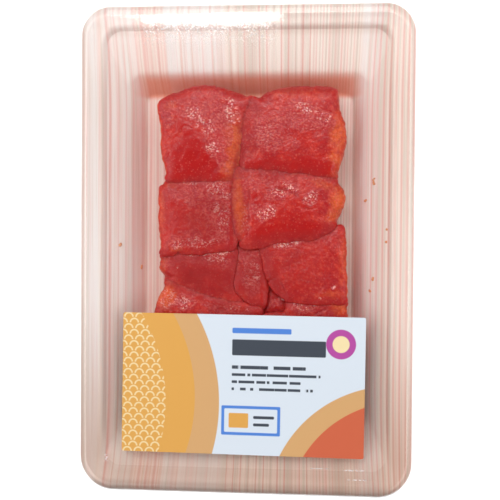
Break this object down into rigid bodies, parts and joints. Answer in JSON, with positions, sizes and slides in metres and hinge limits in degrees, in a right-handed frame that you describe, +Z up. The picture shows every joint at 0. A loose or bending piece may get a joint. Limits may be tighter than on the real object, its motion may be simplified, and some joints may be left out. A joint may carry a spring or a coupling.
{
  "type": "film-wrapped tray of pollock roe",
  "caption": "Printed foam food tray holding soft salted pollock roe slices in two columns, wrapped in clear stretch film with a plain printed paper label.",
  "frame": {"origin": "centre of the pack's footprint, on the surface it rests on", "axes": "+Z up, +Y along the tray towards the end away from the label, +X to the right as the label is read"},
  "size_m": [0.1374, 0.2004, 0.0251],
  "materials": {
    "printed_foam": "satin",
    "roe": "gloss",
    "stretch_film": "gloss",
    "label_paper": "satin"
  },
  "bodies": {
    "root": {"tray": "printed_foam", "roe_1": "roe", "roe_2": "roe", "roe_3": "roe", "roe_4": "roe", "roe_5": "roe", "roe_6": "roe", "roe_7": "roe", "roe_8": "roe", "roe_9": "roe", "roe_10": "roe", "film": "stretch_film", "label": "label_paper"}
  },
  "joints": []
}
